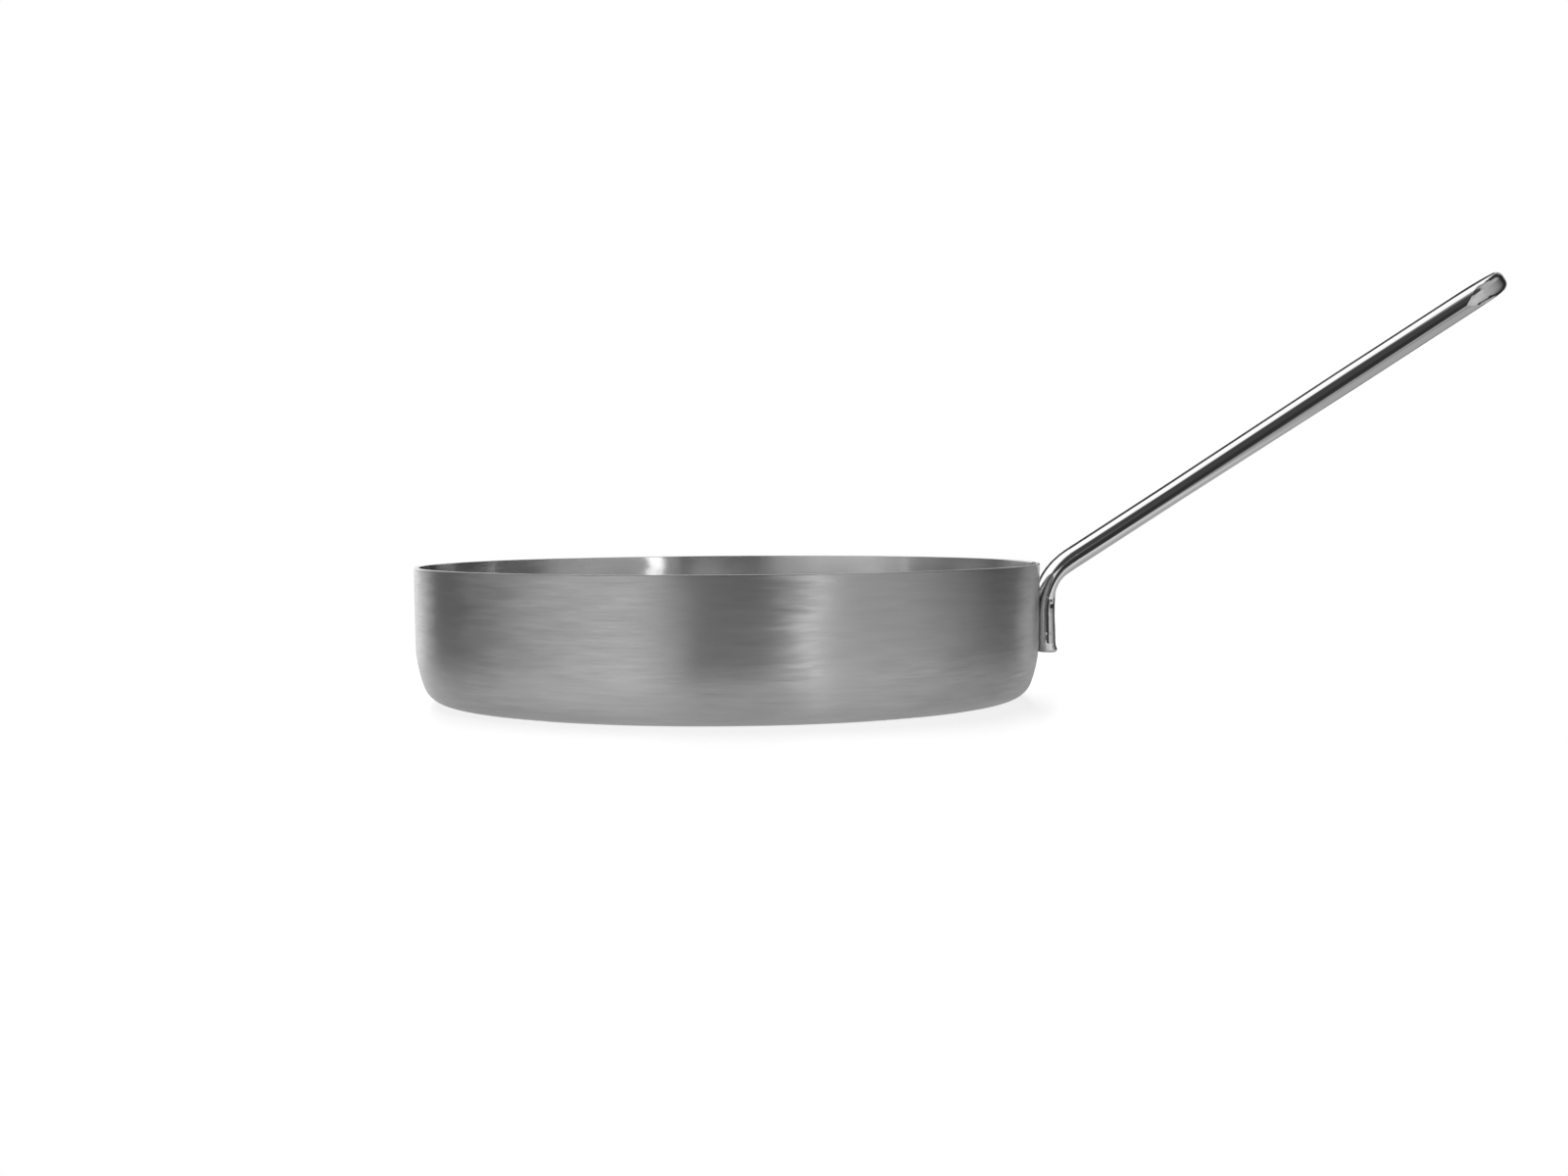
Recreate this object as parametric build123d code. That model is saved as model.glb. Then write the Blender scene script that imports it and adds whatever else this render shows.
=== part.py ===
from build123d import *
import os
from math import cos, pi, radians, sin, sqrt, tan

# A shallow straight-sided pan of clad sheet, with one long handle that rises from its wall.
# Lengths are in millimetres and angles in degrees. +Z is up and the handle runs along +X.
# The origin is the centre of the base, on the hob.

# Pan body
rim_diameter = 240.0
pan_height = 51.0
wall_draft = 0.8  # the wall leans out by this much on its way up
heel_radius = 9.0  # where the base turns up
shoulder_radius = 45.0  # the long easy curve between the heel and the straight wall
shoulder_turn = 20.0
skin_thickness = 0.5  # magnetic stainless steel, outside
core_thickness = 0.9  # aluminium
liner_thickness = 0.4  # stainless steel, inside
skin_rim_round = 0.42
liner_rim_round = 0.32

# Handle: one round tube, pressed to a flat oval whose girth stays the same all along
tube_diameter = 17.0
tube_wall = 1.2
leg_thickness = 6.4  # against the pan's wall, and again at the grip's root
grip_thickness = 7.6
handle_rise = 32.6  # of the grip, above the horizontal
corner_height = 45.2  # where the centre lines of leg and grip would meet
bend_inner_radius = 10.5  # under the grip
bend_outer_radius = 30.0  # over it, where the bend draws the tube flatter
grip_length = 214.0  # from that corner to the tip
swell_start = 61.0  # along the grip, where it starts to thicken
swell_length = 80.0
saddle_depth = 0.3  # the leg is pressed this far round the pan's wall

# Foot of the leg, which thickens slowly and then in a lip
foot_height = 16.3
foot_taper = 0.85
foot_taper_length = 15.0
foot_lip = 0.8
foot_lip_length = 3.5
foot_round = 1.0

# Pocket pressed into the leg's outer face, where its two walls meet to be welded
pocket_length = 20.5
pocket_width = 13.0
pocket_height = 29.2  # of its middle, above the hob
pocket_draft = 20.0
pocket_floor_round = 1.2
pocket_rim_round = 0.9

# Nose of the grip, in plan, and the plug that closes it
nose_length = 26.0  # half the long axis of the ellipse
nose_side_margin = 0.15  # the ellipse is this much wider than the tube's half width
nose_crown = 0.3  # the rounded nose would stand this much over the tube's flat faces
nose_edge_round = 3.2
plug_length = 27.0

# Spot welds between leg and pan
weld_diameter = 3.5
weld_pitch = 5.0
weld_rows = 3
weld_columns = 2
weld_depth_in_skin = 0.3
weld_depth_in_leg = 1.4

overrun = 5.0  # of cuts, past what they cut

rim_radius = rim_diameter / 2
draft = radians(wall_draft)
heel_turn = 90 - shoulder_turn - wall_draft
heel_end = Vector(sin(radians(heel_turn)), -cos(radians(heel_turn)))
wall_out = Vector(cos(draft), -sin(draft))


def layer_corners():
    """The base's flat radius, and the centres of the heel and the shoulder, in the profile."""
    shoulder_drop = shoulder_radius * (wall_out.Y - heel_end.Y)
    straight_start = heel_radius * (1 + heel_end.Y) + shoulder_drop
    reach = heel_radius * heel_end.X + shoulder_radius * (wall_out.X - heel_end.X)
    base_radius = rim_radius - (pan_height - straight_start) * tan(draft) - reach
    heel_centre = Vector(base_radius, heel_radius)
    shoulder_centre = heel_centre + heel_end * (heel_radius - shoulder_radius)
    return base_radius, heel_centre, shoulder_centre


def layer_line(depth):
    """The profile from the axis to the rim, this deep inside the pan's outer face."""
    base_radius, heel_centre, shoulder_centre = layer_corners()
    heel_size = heel_radius - depth
    shoulder_size = shoulder_radius - depth
    base = Line((0, depth), (base_radius, depth))
    heel = CenterArc(heel_centre, heel_size, -90, heel_turn)
    shoulder = CenterArc(shoulder_centre, shoulder_size, heel_turn - 90, shoulder_turn)
    wall = Line(shoulder @ 1, (rim_radius - depth / cos(draft), pan_height))
    return [base, heel, shoulder, wall]


def layer(outside, inside):
    """One sheet of the clad body, between two depths."""
    outer = layer_line(outside)
    inner = layer_line(inside)
    rim = Line(outer[-1] @ 1, inner[-1] @ 1)
    axis = Line(inner[0] @ 0, outer[0] @ 0)
    profile = make_face(outer + [rim] + inner + [axis])
    return revolve(Plane.XZ * profile, Axis.Z)


def rim_edges(sheet):
    """The two circles at the rim, the smaller first."""
    circles = sheet.edges().filter_by(GeomType.CIRCLE)
    return circles.group_by(Axis.Z)[-1].sort_by(SortBy.RADIUS)


def make_outer_skin():
    skin = layer(0, skin_thickness)
    return fillet(rim_edges(skin)[-1], skin_rim_round)


def make_core():
    return layer(skin_thickness, skin_thickness + core_thickness)


def make_liner():
    outside = skin_thickness + core_thickness
    liner = layer(outside, outside + liner_thickness)
    return fillet(rim_edges(liner)[0], liner_rim_round)


def pan_envelope():
    """The whole space inside the pan's outer face, filled."""
    outer = layer_line(0)
    top = Line(outer[-1] @ 1, (0, pan_height))
    axis = Line((0, pan_height), (0, 0))
    return revolve(Plane.XZ * make_face(outer + [top, axis]), Axis.Z)


def wall_radius(height):
    """Outer radius of the straight wall at this height."""
    return rim_radius - (pan_height - height) * tan(draft)


# The handle's frame: up the leg, out from the wall, along the grip and square to it
leg_up = Vector(sin(draft), 0, cos(draft))
leg_out = Vector(cos(draft), 0, -sin(draft))
grip_along = Vector(cos(radians(handle_rise)), 0, sin(radians(handle_rise)))
grip_up = Vector(-grip_along.Z, 0, grip_along.X)
turn = 90 - handle_rise - wall_draft


def leg_point(height, out):
    """A point beside the wall: this high, and this far out from the leg's inner face."""
    start = Vector(wall_radius(height), 0, height)
    return start + leg_out * (out - saddle_depth)


corner = leg_point(corner_height, leg_thickness / 2)


def grip_point(distance):
    """A point on the grip's centre line, this far from the corner."""
    return corner + grip_along * distance


def tube_width(thickness):
    """The width of the round tube once it is pressed to this thickness."""
    return thickness + pi * (tube_diameter - thickness) / 2


def section(centre, direction, thickness, inset):
    """The flat oval of the pressed tube, or its bore where inset is the wall."""
    plane = Plane(origin=centre, x_dir=(0, 1, 0), z_dir=direction)
    return plane * SlotOverall(tube_width(thickness) - 2 * inset, thickness - 2 * inset)


def grip_body(start, end, inset):
    """The straight grip: thin at its root, swelling a little, then even to its end."""
    swell_end = swell_start + swell_length
    root = section(grip_point(start), grip_along, leg_thickness, inset)
    thin = section(grip_point(swell_start), grip_along, leg_thickness, inset)
    thick = section(grip_point(swell_end), grip_along, grip_thickness, inset)
    return (
        extrude(root, amount=swell_start - start)
        + loft([thin, thick], ruled=True)
        + extrude(thick, amount=end - swell_end)
    )


# The bend's two outlines, each an arc between the leg's face and the grip's
half_leg = leg_thickness / 2
half_turn = radians(turn / 2)
bisector = (grip_along - leg_up).normalized()
inner_centre = corner + bisector * ((half_leg + bend_inner_radius) / cos(half_turn))
outer_centre = corner + bisector * ((bend_outer_radius - half_leg) / cos(half_turn))
inner_reach = (bend_inner_radius + half_leg) * tan(half_turn)
outer_reach = (bend_outer_radius - half_leg) * tan(half_turn)
leg_length = (corner - leg_point(foot_height, half_leg)).length


def arc_dip(past):
    """How far the outer arc has left its straight face, this far past where they part."""
    return bend_outer_radius - sqrt(bend_outer_radius**2 - max(0, past) ** 2)


def leg_section(distance):
    """The leg's section, this far above its lower end."""
    taper = foot_taper * max(0, 1 - distance / foot_taper_length)
    lip = foot_lip * max(0, 1 - (distance / foot_lip_length) ** 2) ** 2
    outside = leg_thickness + taper + lip
    inside = arc_dip(distance - (leg_length - outer_reach))
    middle = leg_point(foot_height, (inside + outside) / 2) + leg_up * distance
    return section(middle, leg_up, outside - inside, 0)


def leg_body():
    """The leg, which thickens outwards to the lip at its foot."""
    shares = (0, 0.2, 0.4, 0.6, 0.8, 1)
    straight = leg_length - inner_reach - foot_lip_length
    lip = [leg_section(foot_lip_length * share) for share in shares]
    leg = [leg_section(foot_lip_length + straight * share) for share in shares]
    return loft(lip) + loft(leg)


def bend_section(across):
    """The section on a line through the inner arc's centre, from that arc to the outer one."""
    under = inner_centre + across * bend_inner_radius
    away = outer_centre - under
    along = away.dot(across)
    thickness = along + sqrt(bend_outer_radius**2 - away.dot(away) + along**2)
    direction = Vector(across.Z, 0, -across.X)
    return section(under + across * (thickness / 2), direction, thickness, 0)


def root_section(distance):
    """The grip's section, this far from the corner, where the outer arc still cuts into it."""
    dip = arc_dip(outer_reach - distance)
    middle = grip_point(distance) - grip_up * (dip / 2)
    return section(middle, grip_along, leg_thickness - dip, 0)


def bend_body():
    """The turn between leg and grip, flattest in its middle."""
    turn_shares = (0, 0.17, 0.33, 0.5, 0.67, 0.83, 1)
    root_shares = (0, 0.33, 0.67, 1)
    run = outer_reach - inner_reach
    fan = [bend_section(-leg_out.rotate(Axis.Y, turn * share)) for share in turn_shares]
    root = [root_section(inner_reach + run * share) for share in root_shares]
    return loft(fan) + loft(root)


def nose_cutter():
    """What is ground away to leave the grip's nose: an ellipse in plan, rounded over."""
    half_width = tube_width(grip_thickness) / 2 + nose_side_margin
    height = grip_thickness + 2 * nose_crown
    middle = grip_point(grip_length - nose_length) - grip_up * (height / 2)
    plane = Plane(origin=middle, x_dir=grip_along, z_dir=grip_up)
    reach = nose_length + overrun
    outline = Pos(reach / 2, 0) * Rectangle(reach, 2 * (half_width + overrun))
    nose = extrude(plane * Ellipse(nose_length, half_width), amount=height)
    rims = nose.edges().filter_by(GeomType.ELLIPSE)
    nose = fillet(rims, nose_edge_round)
    return extrude(plane * outline, amount=height) - nose


def pocket_cutter():
    """The punch that presses the leg's outer face in, down to its inner wall."""
    depth = leg_thickness - 2 * tube_wall + overrun
    widening = 2 * overrun * tan(radians(pocket_draft))
    centre = leg_point(pocket_height, leg_thickness + overrun)
    plane = Plane(origin=centre, x_dir=leg_up, z_dir=-leg_out)
    top = plane * SlotOverall(pocket_length + widening, pocket_width + widening)
    punch = extrude(top, amount=depth, taper=pocket_draft)
    floor = punch.faces().sort_by(Axis(centre, -leg_out))[-1]
    return fillet(floor.edges(), pocket_floor_round)


def weld_places():
    """The middle of each spot weld, on the pan's wall."""
    places = []
    for row in range(weld_rows):
        height = pocket_height + (row - (weld_rows - 1) / 2) * weld_pitch
        for column in range(weld_columns):
            side = (column - (weld_columns - 1) / 2) * weld_pitch
            places.append(Vector(wall_radius(height), side, height))
    return places


def make_spot_welds():
    """Each weld is a button of melted steel that joins the leg's wall to the skin."""
    welds = []
    for place in weld_places():
        start = place - leg_out * weld_depth_in_skin
        button = Plane(origin=start, z_dir=leg_out) * Circle(weld_diameter / 2)
        welds.append(extrude(button, amount=weld_depth_in_skin + weld_depth_in_leg))
    return welds


def make_handle(envelope, welds):
    bar = leg_body() + bend_body() + grip_body(outer_reach, grip_length, 0)
    foot = bar.faces().sort_by(Axis.Z)[0]
    bar = fillet(foot.edges(), foot_round)
    pressed = bar - pocket_cutter()
    outwards = Axis(leg_point(pocket_height, leg_thickness), leg_out)
    rim = (pressed.edges() - bar.edges()).filter_by_position(
        outwards, -pocket_rim_round, foot_taper
    )
    bar = fillet(rim, pocket_rim_round) - nose_cutter()
    bar = bar - grip_body(outer_reach, grip_length + overrun, tube_wall)
    return bar - envelope - welds


def make_end_plug():
    start = grip_length - plug_length
    bore = section(grip_point(start), grip_along, grip_thickness, tube_wall)
    return extrude(bore, amount=plug_length) - nose_cutter()


def main():
    os.makedirs("parts", exist_ok=True)
    welds = make_spot_welds()
    parts = {
        "outer_skin": make_outer_skin() - welds,
        "aluminium_core": make_core(),
        "inner_liner": make_liner(),
        "handle_tube": make_handle(pan_envelope(), welds),
        "end_plug": make_end_plug(),
        "spot_welds": Compound(children=welds),
    }
    for name, part in parts.items():
        print(name, "solids", len(part.solids()), "volume", round(part.volume, 1))
        export_step(part, f"parts/{name}.step")


main()
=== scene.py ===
# %% [markdown]
# # A brushed steel pan with a polished tube handle
#
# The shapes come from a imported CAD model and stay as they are. What this script adds is what
# the eye reads as metal: the direction of the brushing, the polish on the handle, and a studio
# for them to reflect. Bare metal has almost no colour of its own, so the room round it does
# half of the work.

from math import cos, pi, radians, sin

import bpy
from mathutils import Matrix, Vector


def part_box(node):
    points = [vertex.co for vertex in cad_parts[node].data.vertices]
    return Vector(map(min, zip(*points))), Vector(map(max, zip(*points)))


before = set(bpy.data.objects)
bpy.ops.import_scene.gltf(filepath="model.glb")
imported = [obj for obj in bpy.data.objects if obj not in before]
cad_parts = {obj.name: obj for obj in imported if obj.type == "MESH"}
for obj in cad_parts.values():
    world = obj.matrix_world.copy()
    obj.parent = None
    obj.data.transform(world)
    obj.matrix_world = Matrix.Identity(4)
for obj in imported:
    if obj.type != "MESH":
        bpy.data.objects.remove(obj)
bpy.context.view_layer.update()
MM = 0.001  # the frame is in metres, and a pan is thought of in millimetres

for name in sorted(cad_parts):
    low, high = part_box(name)
    size = [round((high[i] - low[i]) / MM, 1) for i in range(3)]
    print(f"{name}: {size} mm, {len(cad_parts[name].data.polygons)} faces")

# %% [markdown]
# ## Camera
#
# The photograph was taken from just above the rim and about three pan widths away. A camera
# can be placed by eye, but here its place came from the ellipse of the rim, the line of the
# base and the slope of the wall, so it is written as distances and small angles. The angles
# turn the directions ahead, right and up into the camera's own axes. A camera in Blender looks
# along its -Z, so the axis that it gets as Z points backwards.

# %% Where the camera looks
YAW, PITCH, ROLL = 0.02847, 0.04296, -0.00603  # radians, to the right, down and clockwise

ahead = Vector((sin(YAW), cos(YAW), 0))
right = Vector((cos(YAW), -sin(YAW), 0))
above = Vector((0, 0, 1))
looking = ahead * cos(PITCH) - above * sin(PITCH)
tilted = above * cos(PITCH) + ahead * sin(PITCH)
camera_right = right * cos(ROLL) + tilted * sin(ROLL)
camera_up = tilted * cos(ROLL) - right * sin(ROLL)
camera_axes = Matrix((camera_right, camera_up, -looking)).transposed()
print("the camera looks along", [round(share, 4) for share in looking])

# %% The camera
EYE_DISTANCE = 759.4 * MM
EYE_HEIGHT = 74.1 * MM
SENSOR_WIDTH = 36  # millimetres, which is also how Blender counts a lens
FOCAL_SHARE = 1996.4 / 1600  # of the picture's width

camera_data = bpy.data.cameras.new("pan_camera")
camera_data.sensor_width = SENSOR_WIDTH
camera_data.lens = SENSOR_WIDTH * FOCAL_SHARE
camera = bpy.data.objects.new("pan_camera", camera_data)
bpy.context.scene.collection.objects.link(camera)
eye = Matrix.Translation((0, -EYE_DISTANCE, EYE_HEIGHT))
camera.matrix_world = eye @ camera_axes.to_4x4()
bpy.context.scene.camera = camera
print("lens", round(camera_data.lens, 2), "mm")

# %% [markdown]
# ## Four small tools
#
# Colours are easier to think of as they look on a screen, but light is added up in linear
# values, so one function turns a hex colour into those. Another adds a node, fills its sockets
# in one go and sets the stops of a colour ramp, which keeps each material short enough to
# read. The third starts an empty material. The last gives a finish to a piece, and every piece
# here is a CAD node that keeps its own mesh.
#
# Sockets are named, or counted from 0, as a node may have several of one name. A Map Range
# node turns the range between its sockets 1 and 2 into the one between 3 and 4. A Mix node
# blends numbers in its sockets 2 and 3, and colours in 6 and 7.


# %% A colour as it looks on a screen
def colour(hex_code):
    """The linear values that Blender works in. The numbers are those of the sRGB standard."""
    shares = [int(hex_code[i : i + 2], 16) / 255 for i in (1, 3, 5)]
    linear = [s / 12.92 if s <= 0.04045 else ((s + 0.055) / 1.055) ** 2.4 for s in shares]
    return (*linear, 1)


print("a middle grey sends back", round(colour("#808080")[0], 3), "of the light")


# %% Nodes and finishes
def add(tree, kind, inputs=None, stops=(), **settings):
    """Adds a node. inputs gives a socket its value or what feeds it, and stops are the places
    and colours of a colour ramp."""
    node = tree.nodes.new(kind)
    for name, value in settings.items():
        setattr(node, name, value)
    for socket, value in (inputs or {}).items():
        if isinstance(value, bpy.types.NodeSocket):
            tree.links.new(value, node.inputs[socket])
        else:
            node.inputs[socket].default_value = value
    for i, (place, shade) in enumerate(stops):
        ramp = node.color_ramp.elements
        if i == 0:
            ramp.remove(ramp[-1])  # a new ramp has two stops, and one of them has to stay
        stop = ramp.new(place) if i else ramp[0]
        stop.position = place
        stop.color = shade
    return node


def new_material(name):
    """An empty node material."""
    material = bpy.data.materials.new(name)
    material.use_nodes = True
    material.node_tree.nodes.clear()
    return material


def wear(node, material):
    """Gives a CAD node this finish all over."""
    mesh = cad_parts[node].data
    mesh.materials.clear()
    mesh.materials.append(material)
    print(node, "wears", material.name)


# %% [markdown]
# ## The studio
#
# Polished and brushed steel show what stands round them. The bands on the pan's wall and the
# stripes along the handle say what stood round the real one: a white backdrop behind it, a
# broad soft box at the left, a narrow strip light and a soft box that fades at the right, a
# pale card behind those, and darkness round the camera. Lamps with real panels could show all
# this, but a world that is a function of direction puts nothing in the way of other views. The
# light is written as stops round the horizon, as one would set up stands round a table.

# %% What stands round the pan
# Azimuth in degrees, 0 towards the camera and 90 to the picture's right, and the light there
LEFT_BOX = ((-112, 0.20), (-98, 0.36), (-80, 0.64), (-60, 0.92), (-36, 1.12), (-24, 0.76))
CAMERA_SIDE = ((-11, 0.08), (4, 0.04), (19, 0.06))
RIGHT_BOX = ((36, 0.80), (52, 0.60), (75, 0.40), (96, 0.15), (108, 0.03))
RIGHT_CARD = ((130, 0.03), (138, 0.45), (148, 0.45), (153, 0.05))
RINGS = {
    "ground": ((-180, 0.30), (-100, 0.30), (-70, 0.55), (112, 0.55), (142, 0.15)),
    "gap": (
        (-180, 0.14), *LEFT_BOX, *CAMERA_SIDE, (22, 0.40), (34, 0.40), (40, 0.04), (180, 0.04),
    ),
    "boxes": (
        (-180, 0.14), *LEFT_BOX, *CAMERA_SIDE, (22, 0.50), (34, 0.80), *RIGHT_BOX, *RIGHT_CARD,
    ),
    "strip": ((27, 0.0), (28, 6.2), (33, 6.2), (34, 0.0)),
    "ceiling": (
        (-180, 0.24), (-130, 0.24), (-115, 0.08), (30, 0.08), (40, 0.62), (92, 0.62), (110, 0.05),
    ),
    "backdrop": (
        (-180, 1.25), (-163, 1.25), (-148, 0.75), (-134, 0.0), (150, 0.0), (157, 1.25),
    ),
}
print("stops round the room:", {name: len(ring) for name, ring in RINGS.items()})

# %% A world that depends on direction
world = bpy.data.worlds.new("studio")
bpy.context.scene.world = world
world.use_nodes = True
studio = world.node_tree
studio.nodes.clear()

direction = add(studio, "ShaderNodeTexCoord").outputs["Generated"]
way = add(studio, "ShaderNodeSeparateXYZ", {0: direction}).outputs
to_camera = add(studio, "ShaderNodeMath", {0: way["Y"], 1: -1.0}, operation="MULTIPLY")
azimuth = add(
    studio, "ShaderNodeMath", {0: way["X"], 1: to_camera.outputs[0]}, operation="ARCTAN2"
)
turned = add(
    studio, "ShaderNodeMapRange", {0: azimuth.outputs[0], 1: -pi, 2: pi, 3: 0.0, 4: 1.0}
).outputs[0]
print("world:", world.name)

# %% Light from the stops
BRIGHTEST = 8.0  # a ramp holds 0 to 1, so light is kept as a share of this


def ring_of_light(ring):
    """The light round the room, from stops of azimuth and strength."""
    stops = [((angle + 180) / 360, (light / BRIGHTEST,) * 3 + (1,)) for angle, light in ring]
    share = add(studio, "ShaderNodeValToRGB", {0: turned}, stops=stops).outputs[0]
    strength = add(studio, "ShaderNodeMath", {0: share, 1: BRIGHTEST}, operation="MULTIPLY")
    return strength.outputs[0]


rings = {name: ring_of_light(ring) for name, ring in RINGS.items()}
print("rings of light:", ", ".join(rings))

# %% [markdown]
# ## How high each light stands
#
# Each ring holds between two heights. The room's pale floor comes first and gives the grip its
# grey lower half. Then the right side stays dark for a few degrees, which draws the lower edge
# of the face at the handle's tip. The strip is low and short, because the rounded tip would
# show a tall one as a white blot. The backdrop's lower edge slants up to the right, along with
# the grip: the far edge of the grip's upper face mirrors the dark just under it, which draws
# the fine dark line that parts white metal from a white background.
#
# One ramp over the height could hold all this, but then no light could move alone. So each
# edge is a soft step of its own between what is under it and what is over it.

# %% Where the lights start and end
# Degrees above the horizon between which one light goes over into the next
GROUND_EDGE = (-17, -15)
BOX_FOOT = (-7, -5)
STRIP_FOOT = (-2, -1)
STRIP_TOP = (5, 6)
BOX_TOP = (34, 42)
TOP_PANEL = (74, 80)
BACKDROP_FOOT = (4.4, 6.0)  # over the plane of the grip, not over the horizon

GRIP_RISE = radians(32.6)
TOP_LIGHT = 0.40  # how strong the panel straight above is


def between_angles(rise, angles, under, over):
    """Goes from one light to another between two angles. rise is the sine of the angle."""
    start, end = (sin(radians(angle)) for angle in angles)
    share = add(
        studio,
        "ShaderNodeMapRange",
        {0: rise, 1: start, 2: end, 3: 0.0, 4: 1.0},
        interpolation_type="SMOOTHSTEP",
    ).outputs[0]
    light = add(studio, "ShaderNodeMix", {0: share, 2: under, 3: over}, data_type="FLOAT")
    return light.outputs[0]


print("the boxes stand from", BOX_FOOT[1], "to", BOX_TOP[0], "degrees")

# %% Stacking the rings
grip_up = (-sin(GRIP_RISE), 0, cos(GRIP_RISE))
over_grip = add(
    studio, "ShaderNodeVectorMath", {0: direction, 1: grip_up}, operation="DOT_PRODUCT"
).outputs["Value"]
backdrop = between_angles(over_grip, BACKDROP_FOOT, 0.0, rings["backdrop"])
strip = between_angles(way["Z"], STRIP_FOOT, 0.0, rings["strip"])
strip = between_angles(way["Z"], STRIP_TOP, strip, 0.0)
room = between_angles(way["Z"], GROUND_EDGE, rings["ground"], rings["gap"])
room = between_angles(way["Z"], BOX_FOOT, room, rings["boxes"])
room = between_angles(way["Z"], BOX_TOP, room, rings["ceiling"])
for light in (backdrop, strip):
    room = add(studio, "ShaderNodeMath", {0: room, 1: light}, operation="ADD").outputs[0]
studio_light = between_angles(way["Z"], TOP_PANEL, room, TOP_LIGHT)
print("the grip rises by", round(sin(GRIP_RISE), 3), "of its length")

# %% [markdown]
# ## White behind the pan
#
# The photograph is cut out on plain white. A white wall could stand there, but it would send
# its light into the dark side of the studio. A ray that comes straight from the camera sees a
# strength of 1 instead, which is white, and every other ray sees the studio.

# %% White for the camera alone
camera_ray = add(studio, "ShaderNodeLightPath").outputs["Is Camera Ray"]
seen = add(
    studio, "ShaderNodeMix", {0: camera_ray, 2: studio_light, 3: 1.0}, data_type="FLOAT"
).outputs[0]
background = add(studio, "ShaderNodeBackground", {"Color": seen, "Strength": 1.0})
add(studio, "ShaderNodeOutputWorld", {0: background.outputs[0]})
print("world nodes:", len(studio.nodes))

# %% [markdown]
# ## The table and the lamp
#
# The pan stands on a small round white table. An endless floor would be simpler, but polished
# metal would mirror it right up to the horizon and lose its dark stripes. The camera sees the
# table lifted to white, so that it joins the background and keeps only the pan's soft shadow.
# Metal sees a painted glow on it, brighter in front of the pan, where most light falls, than
# beside it.
# The world gives light from all sides and hardly a shadow, so a wide lamp overhead draws one.

# %% The table
TABLE_RADIUS = 275 * MM
TABLE_MIDDLE = (90 * MM, 60 * MM)  # between the pan and the end of its handle
TABLE_SIDES = 128
TABLE_DROP = 0.2 * MM  # so that the pan's base and the table don't share a plane

turns = [2 * pi * i / TABLE_SIDES for i in range(TABLE_SIDES)]
edge = [Vector((cos(t), sin(t), 0)) * TABLE_RADIUS for t in turns]
middle = Vector((*TABLE_MIDDLE, -TABLE_DROP))
table_mesh = bpy.data.meshes.new("table")
table_mesh.from_pydata([middle + corner for corner in edge], [], [range(TABLE_SIDES)])
table = bpy.data.objects.new("table", table_mesh)
bpy.context.scene.collection.objects.link(table)
print("table", round(2 * TABLE_RADIUS / MM), "mm across")

# %% How much whiter the table looks, and its painted glow
TO_EYE = 0.75  # added to what the lamp gives, for the camera
PAINTED_GLOW_FRONT = 0.68  # painted glow that metal sees in front of the pan
PAINTED_GLOW_BESIDE = 0.30
FRONT = -140 * MM  # the painted glow falls off from here to the pan's middle

white_card = new_material("satin white card")
tree = white_card.node_tree
light_path = add(tree, "ShaderNodeLightPath").outputs
place = add(tree, "ShaderNodeTexCoord").outputs["Object"]
depth = add(tree, "ShaderNodeSeparateXYZ", {0: place}).outputs["Y"]
front = add(
    tree,
    "ShaderNodeMapRange",
    {0: depth, 1: FRONT, 2: 0.0, 3: PAINTED_GLOW_FRONT, 4: PAINTED_GLOW_BESIDE},
).outputs[0]
# Painted light: metal sees the table glow, more in front of the pan than beside it
painted_glow = add(
    tree, "ShaderNodeMath", {0: light_path["Is Glossy Ray"], 1: front}, operation="MULTIPLY"
).outputs[0]
lift = add(
    tree,
    "ShaderNodeMath",
    {0: light_path["Is Camera Ray"], 1: TO_EYE, 2: painted_glow},
    operation="MULTIPLY_ADD",
).outputs[0]
print("the camera sees the table lifted by", TO_EYE)

# %% The table's card
# Coated card has a slight sheen, and its grey leaves room for the lift before it clips
# The emission is white for the camera, and a painted glow for reflections
glow = add(tree, "ShaderNodeEmission", {"Color": colour("#ffffff"), "Strength": lift})
card = add(
    tree, "ShaderNodeBsdfPrincipled", {"Base Color": colour("#9a9a9a"), "Roughness": 0.4}
)
both = add(tree, "ShaderNodeAddShader", {0: card.outputs[0], 1: glow.outputs[0]})
add(tree, "ShaderNodeOutputMaterial", {0: both.outputs[0]})
table_mesh.materials.append(white_card)
print("the table wears", white_card.name)

# %% The soft lamp overhead
LAMP_WIDTH = 1.2  # metres
LAMP_POWER = 16  # watts
LAMP_PLACE = (-0.3, 0.5, 1.6)  # metres, a little behind the pan and to its left

lamp_data = bpy.data.lights.new("overhead_softbox", "AREA")
lamp_data.shape = "DISK"
lamp_data.size = LAMP_WIDTH
lamp_data.energy = LAMP_POWER
lamp = bpy.data.objects.new("overhead_softbox", lamp_data)
lamp.location = LAMP_PLACE
lamp.rotation_euler = (-lamp.location).to_track_quat("-Z", "Y").to_euler()
lamp.visible_glossy = False  # the world already holds what metal should mirror
bpy.context.scene.collection.objects.link(lamp)
print("lamp", lamp_data.energy, "W at", [round(c, 2) for c in lamp.location])

# %% [markdown]
# ## Brushed stainless steel
#
# The body is turned on a spindle against an abrasive belt, so its scratches run round it in
# circles, a few millimetres to a few centimetres long. Each one scatters light across itself
# and hardly along itself, which is why the wall shows upright bands with soft edges. A picture
# of scratches could be wrapped round the wall, but an anisotropic shader spreads the light
# that way by itself and stays sharp at any distance.
#
# Three noises then break it up. Two are stretched round the axis: fine scratches, and broader
# strokes where the belt bit deeper. The third is slow and stands for the dents of formed
# sheet. Strokes and dents turn the surface very slightly sideways, which frays the edges of
# the bands.

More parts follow.
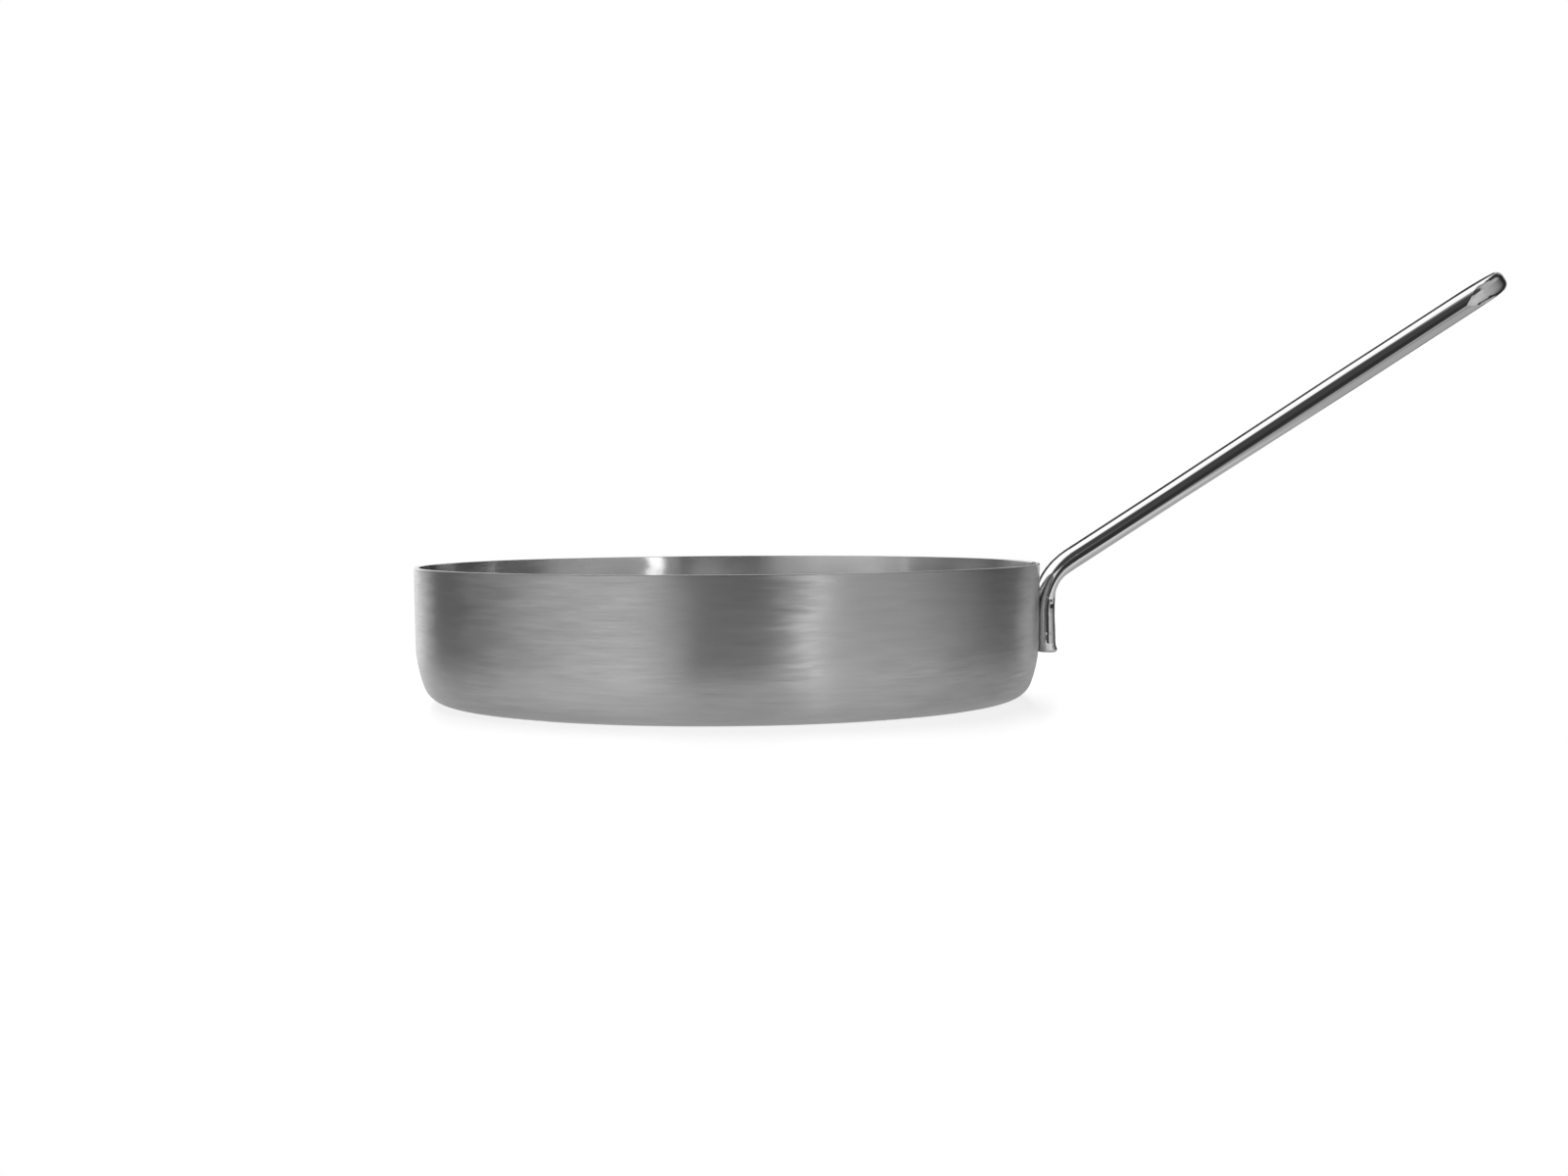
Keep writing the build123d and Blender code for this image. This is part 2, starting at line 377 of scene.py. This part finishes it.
# %% Sizes of the brushing
GRIT_SPACING = 0.4 * MM  # drawn coarser than the real 0.05 mm, which is too fine to show
SCRATCH_LENGTH = 12 * MM
SCRATCH_DEPTH = 0.004 * MM
STROKE_SPACING = 2.2 * MM
STROKE_LENGTH = 22 * MM
DENT_SIZE = 36 * MM
STROKE_SHARE = 0.6  # of the strokes in the unevenness, against the whole of the dents
UNEVEN_MIDDLE = (1 + STROKE_SHARE) / 2  # as a noise is 0.5 on average
UNEVEN_SPREAD = 0.32  # as far as the two together go to each side
NOISE_SPAN = (0.3, 0.7)  # where most of one noise lies
ROUGHNESS_SWING = 0.15
WALL_RADIUS = 120 * MM
print("strokes in one turn of the wall:", round(2 * pi * WALL_RADIUS / STROKE_LENGTH))


# %% Directions round the pan
def pan_directions(tree):
    """A place on the pan, the direction out from its axis, and how far it is across the marks."""
    place = add(tree, "ShaderNodeTexCoord").outputs["Object"]
    flat = add(
        tree, "ShaderNodeVectorMath", {0: place, 1: (1, 1, 0)}, operation="MULTIPLY"
    ).outputs[0]
    outwards = add(tree, "ShaderNodeVectorMath", {0: flat}, operation="NORMALIZE").outputs[0]
    reach = add(tree, "ShaderNodeVectorMath", {0: flat}, operation="LENGTH").outputs["Value"]
    height = add(tree, "ShaderNodeSeparateXYZ", {0: place}).outputs["Z"]
    # Reach counts the circles on the base, height counts them up the wall, and the sum both
    across = add(tree, "ShaderNodeMath", {0: reach, 1: height}, operation="ADD").outputs[0]
    return place, outwards, across


print("one turn of the wall is", round(2 * pi * WALL_RADIUS / MM), "mm")


# %% Marks that run round the pan
def brush_marks(tree, outwards, across, length, spacing, detail):
    """A noise whose grains are this long round the axis and this far apart across it."""
    lines = add(tree, "ShaderNodeMath", {0: across, 1: 1 / spacing}, operation="MULTIPLY")
    upright = add(tree, "ShaderNodeCombineXYZ", {2: lines.outputs[0]})
    pattern = add(
        tree,
        "ShaderNodeVectorMath",
        {0: outwards, 1: (WALL_RADIUS / length,) * 3, 2: upright.outputs[0]},
        operation="MULTIPLY_ADD",
    ).outputs[0]
    marks = add(
        tree,
        "ShaderNodeTexNoise",
        {"Vector": pattern, "Scale": 1.0, "Detail": detail, "Roughness": 0.6},
    )
    return marks.outputs["Fac"]


print("a stroke is", round(STROKE_LENGTH / STROKE_SPACING), "times as long as it is wide")


# %% A surface that the strokes turn sideways
def frayed_face(tree, grooves, outwards, strokes, dents, fray):
    """The direction that the brushed metal faces, with its strokes and dents."""
    uneven = add(
        tree, "ShaderNodeMath", {0: strokes, 1: STROKE_SHARE, 2: dents}, operation="MULTIPLY_ADD"
    ).outputs[0]
    least, most = UNEVEN_MIDDLE - UNEVEN_SPREAD, UNEVEN_MIDDLE + UNEVEN_SPREAD
    sideways = add(
        tree, "ShaderNodeMapRange", {0: uneven, 1: least, 2: most, 3: -fray, 4: fray}
    ).outputs[0]
    round_way = add(
        tree, "ShaderNodeVectorMath", {0: (0, 0, 1), 1: outwards}, operation="CROSS_PRODUCT"
    ).outputs[0]
    turn = add(
        tree, "ShaderNodeVectorMath", {0: round_way, "Scale": sideways}, operation="SCALE"
    ).outputs[0]
    turned_face = add(tree, "ShaderNodeVectorMath", {0: grooves, 1: turn}, operation="ADD")
    face = add(tree, "ShaderNodeVectorMath", {0: turned_face.outputs[0]}, operation="NORMALIZE")
    return face.outputs[0]


print("slow dents are", round(DENT_SIZE / MM), "mm across")


# %% The brushed finish
def brushed_steel(name, darker, lighter, roughness, fray):
    """Steel brushed in circles. fray is how far its strokes turn the surface, in radians."""
    material = new_material(name)
    tree = material.node_tree
    place, outwards, across = pan_directions(tree)
    scratches = brush_marks(tree, outwards, across, SCRATCH_LENGTH, GRIT_SPACING, 3.0)
    strokes = brush_marks(tree, outwards, across, STROKE_LENGTH, STROKE_SPACING, 2.0)
    dents = add(
        tree, "ShaderNodeTexNoise", {"Vector": place, "Scale": 1 / DENT_SIZE, "Detail": 1.0}
    ).outputs["Fac"]

    tint = add(
        tree, "ShaderNodeMix", {0: strokes, 6: colour(darker), 7: colour(lighter)},
        data_type="RGBA",
    )
    smoother, rougher = roughness * (1 - ROUGHNESS_SWING), roughness * (1 + ROUGHNESS_SWING)
    low, high = NOISE_SPAN
    rough = add(
        tree, "ShaderNodeMapRange", {0: scratches, 1: low, 2: high, 3: smoother, 4: rougher}
    )
    grooves = add(
        tree, "ShaderNodeBump", {"Height": scratches, "Strength": 1.0, "Distance": SCRATCH_DEPTH}
    ).outputs[0]
    along = add(tree, "ShaderNodeTangent", direction_type="RADIAL", axis="Z")
    steel = add(
        tree,
        "ShaderNodeBsdfPrincipled",
        {
            "Base Color": tint.outputs[2],
            "Metallic": 1.0,
            "Roughness": rough.outputs[0],
            "Anisotropic": 0.95,
            "Anisotropic Rotation": 0.25,  # so that light spreads across the scratches
            "Tangent": along.outputs[0],
            "Normal": frayed_face(tree, grooves, outwards, strokes, dents, fray),
        },
    )
    add(tree, "ShaderNodeOutputMaterial", {0: steel.outputs[0]})
    return material


print("roughness varies by", round(100 * ROUGHNESS_SWING), "percent either way")

# %% [markdown]
# ## The two faces of the body
#
# The outside is a magnetic steel for induction hobs, brushed with a coarse belt to a dull
# grey. The inside is a chromium and nickel steel with a finer brush, so it is a little lighter
# and its bands are sharper. Each could have a material drawn up by hand, but it is the same
# work with two belts, so one function makes both and only the tints, the roughness and the
# fray differ.

# %% Skin and liner
wear(
    "outer_skin",
    brushed_steel("brushed ferritic steel", "#a7a7a7", "#c2c2c2", roughness=0.36, fray=0.045),
)
wear(
    "inner_liner",
    brushed_steel("brushed 18-10 steel", "#d2d2d2", "#dedede", roughness=0.19, fray=0.02),
)

# %% [markdown]
# ## The cut edge of the core
#
# Between the two steels lies aluminium, which shows only as a fine line in the rim. It was
# turned off on the same spindle, so it has the cutter's rings, and it is softer and whiter
# than steel, with a dull skin of oxide. Rings could be cut into the mesh, but they are far
# finer than its faces, so a wave round the axis only tilts the light, and a noise makes the
# oxide come and go.

# %% Sizes of the turning
CUTTER_FEED = 0.12 * MM  # between two real rings, too fine to show
DRAWN_FEED = 2 * pi * CUTTER_FEED  # so they are drawn about six times as far apart
WAVE_RADIANS = 20  # a wave texture goes through so many in one unit
RING_DEPTH = 0.004 * MM
OXIDE_PATCH = 6 * MM
print("rings are drawn", round(DRAWN_FEED / MM, 2), "mm apart")

# %% Turned aluminium
aluminium = new_material("turned aluminium")
tree = aluminium.node_tree
place = add(tree, "ShaderNodeTexCoord").outputs["Object"]
feed = add(
    tree,
    "ShaderNodeTexWave",
    {"Vector": place, "Scale": 2 * pi / DRAWN_FEED / WAVE_RADIANS, "Distortion": 0.4},
    wave_type="RINGS",
    rings_direction="Z",
).outputs["Fac"]
oxide = add(
    tree, "ShaderNodeTexNoise", {"Vector": place, "Scale": 1 / OXIDE_PATCH, "Detail": 3.0}
).outputs["Fac"]
tint = add(
    tree, "ShaderNodeMix", {0: oxide, 6: colour("#cfd1d4"), 7: colour("#e1e2e4")},
    data_type="RGBA",
)
low, high = NOISE_SPAN
dull = add(tree, "ShaderNodeMapRange", {0: oxide, 1: low, 2: high, 3: 0.42, 4: 0.58})
rings_cut = add(tree, "ShaderNodeBump", {"Height": feed, "Distance": RING_DEPTH})
metal = add(
    tree,
    "ShaderNodeBsdfPrincipled",
    {
        "Base Color": tint.outputs[2],
        "Metallic": 1.0,
        "Roughness": dull.outputs[0],
        "Normal": rings_cut.outputs[0],
    },
)
add(tree, "ShaderNodeOutputMaterial", {0: metal.outputs[0]})
wear("aluminium_core", aluminium)

# %% [markdown]
# ## The polished handle
#
# The handle is polished to a mirror on a cloth wheel. The wheel leaves three things: a faint
# haze that comes and goes, hairlines along the tube that only break up a hard edge, and
# pressed faces that stay a little crowned from side to side, by a tenth of a millimetre or
# two, and fall away a little towards the tip. The CAD keeps those faces flat, and a mirror
# shows at once that they are. They could be drawn crowned in the CAD, but so little is seen
# in what they mirror and nowhere else, so only their shading leans outwards.

# %% Sizes of the polish
HAIRLINE_SPACING = 0.5 * MM  # drawn coarser than real ones, which are far too fine to show
HAIRLINE_LENGTH = 40 * MM
HAIRLINE_DEPTH = 0.0006 * MM
HAZE_SIZE = 14 * MM
HAZE_SPAN = (0.35, 0.70)  # clear below this part of the noise, and fully hazy above it
CROWN_RADIUS = 100 * MM  # of the pressed faces, from side to side
ALONG_GRIP = (cos(GRIP_RISE), 0, sin(GRIP_RISE))
NOSE = (318 * MM, 344 * MM)  # its start and its end, measured along the grip from the origin
NOSE_LEAN = 0.2  # radians, at the tip
print("the nose falls away over", round((NOSE[1] - NOSE[0]) / MM), "mm")


# %% Faces crowned by the wheel
def crowned_face(tree, place, polish):
    """The direction that the polished metal faces, leaning to the sides and to the tip."""
    leaning = add(
        tree,
        "ShaderNodeVectorMath",
        {0: place, 1: (0, 1 / CROWN_RADIUS, 0), 2: polish},
        operation="MULTIPLY_ADD",
    ).outputs[0]
    reach = add(
        tree, "ShaderNodeVectorMath", {0: place, 1: ALONG_GRIP}, operation="DOT_PRODUCT"
    ).outputs["Value"]
    nose = add(
        tree, "ShaderNodeMapRange", {0: reach, 1: NOSE[0], 2: NOSE[1], 3: 0.0, 4: 1.0}
    ).outputs[0]
    # Squared, so that the fall starts gently
    fall = add(tree, "ShaderNodeMath", {0: nose, 1: nose}, operation="MULTIPLY").outputs[0]
    tipped = add(
        tree,
        "ShaderNodeVectorMath",
        {0: fall, 1: [NOSE_LEAN * share for share in ALONG_GRIP], 2: leaning},
        operation="MULTIPLY_ADD",
    )
    crowned = add(tree, "ShaderNodeVectorMath", {0: tipped.outputs[0]}, operation="NORMALIZE")
    return crowned.outputs[0]


print("a face leans by", round(10 * MM / CROWN_RADIUS, 2), "radians at 10 mm from its middle")


# %% Marks that the wheel leaves
def wheel_marks(tree, place):
    """The haze of the polish, and its hairlines."""
    haze = add(
        tree, "ShaderNodeTexNoise", {"Vector": place, "Scale": 1 / HAZE_SIZE, "Detail": 4.0}
    ).outputs["Fac"]
    # A point mapping scales before it turns, so these lines run level and not up the grip. At
    # this depth they are too faint for their direction to show.
    level_lines = add(
        tree,
        "ShaderNodeMapping",
        {
            "Vector": place,
            "Rotation": (0, GRIP_RISE, 0),
            "Scale": (1 / HAIRLINE_LENGTH, 1 / HAIRLINE_SPACING, 1 / HAIRLINE_SPACING),
        },
        vector_type="POINT",
    ).outputs[0]
    hairlines = add(
        tree, "ShaderNodeTexNoise", {"Vector": level_lines, "Scale": 1.0, "Detail": 2.0}
    ).outputs["Fac"]
    return haze, hairlines


print("a hairline is", round(HAIRLINE_LENGTH / HAIRLINE_SPACING), "times as long as it is wide")


# %% Mirror polish
def mirror_steel(name, darker, lighter, clearest, haziest):
    """Polished steel, with a haze that comes and goes between these two roughnesses."""
    material = new_material(name)
    tree = material.node_tree
    place = add(tree, "ShaderNodeTexCoord").outputs["Object"]
    haze, hairlines = wheel_marks(tree, place)
    tint = add(
        tree, "ShaderNodeMix", {0: haze, 6: colour(darker), 7: colour(lighter)},
        data_type="RGBA",
    )
    low, high = HAZE_SPAN
    rough = add(
        tree, "ShaderNodeMapRange", {0: haze, 1: low, 2: high, 3: clearest, 4: haziest}
    )
    polish = add(
        tree, "ShaderNodeBump", {"Height": hairlines, "Strength": 1.0, "Distance": HAIRLINE_DEPTH}
    ).outputs[0]
    steel = add(
        tree,
        "ShaderNodeBsdfPrincipled",
        {
            "Base Color": tint.outputs[2],
            "Metallic": 1.0,
            "Roughness": rough.outputs[0],
            "Normal": crowned_face(tree, place, polish),
        },
    )
    add(tree, "ShaderNodeOutputMaterial", {0: steel.outputs[0]})
    return material


print("the haze is in patches of about", round(HAZE_SIZE / MM), "mm")

# %% Tube and plug
# The plug was ground off after it was welded in, so it is a touch darker and hazier
wear("handle_tube", mirror_steel("mirror polished steel", "#cbcbcb", "#d2d2d2", 0.03, 0.07))
wear("end_plug", mirror_steel("ground and polished steel", "#c7c7c7", "#cfcfcf", 0.04, 0.10))

# %% [markdown]
# ## The spot welds
#
# Each weld is a button of steel that melted and froze between handle and wall. It has the
# grain of cast metal and the straw and blue tints that hot steel takes on in air. The welds
# are hidden in the finished pan, and show when the pieces are drawn apart. The tints could be
# painted on, but real ones follow how hot the steel ran, so a soft noise stands for the heat
# and a ramp turns it into colour.

# %% Sizes and tints of a weld
GRAIN_SIZE = 0.5 * MM
GRAIN_DEPTH = 0.03 * MM
HEAT_PATCH = 3 * MM
HEAT_TINTS = ((0.35, "#a9a7a4"), (0.50, "#b7a274"), (0.62, "#8089a0"))  # grey, straw and blue
print("tints of heat:", ", ".join(shade for share, shade in HEAT_TINTS))

# %% Heat-tinted weld
weld = new_material("heat tinted weld steel")
tree = weld.node_tree
place = add(tree, "ShaderNodeTexCoord").outputs["Object"]
grain = add(
    tree, "ShaderNodeTexVoronoi", {"Vector": place, "Scale": 1 / GRAIN_SIZE}, feature="F1"
).outputs["Distance"]
heat = add(
    tree, "ShaderNodeTexNoise", {"Vector": place, "Scale": 1 / HEAT_PATCH, "Detail": 2.0}
).outputs["Fac"]
tints = add(
    tree,
    "ShaderNodeValToRGB",
    {0: heat},
    stops=[(share, colour(shade)) for share, shade in HEAT_TINTS],
)
frozen = add(tree, "ShaderNodeBump", {"Height": grain, "Distance": GRAIN_DEPTH})
metal = add(
    tree,
    "ShaderNodeBsdfPrincipled",
    {
        "Base Color": tints.outputs[0],
        "Metallic": 1.0,
        "Roughness": 0.4,
        "Normal": frozen.outputs[0],
    },
)
add(tree, "ShaderNodeOutputMaterial", {0: metal.outputs[0]})
wear("spot_welds", weld)

# %% [markdown]
# ## View
#
# The Standard view shows a colour as it is written.

# %% View settings
bpy.context.scene.view_settings.view_transform = "Standard"
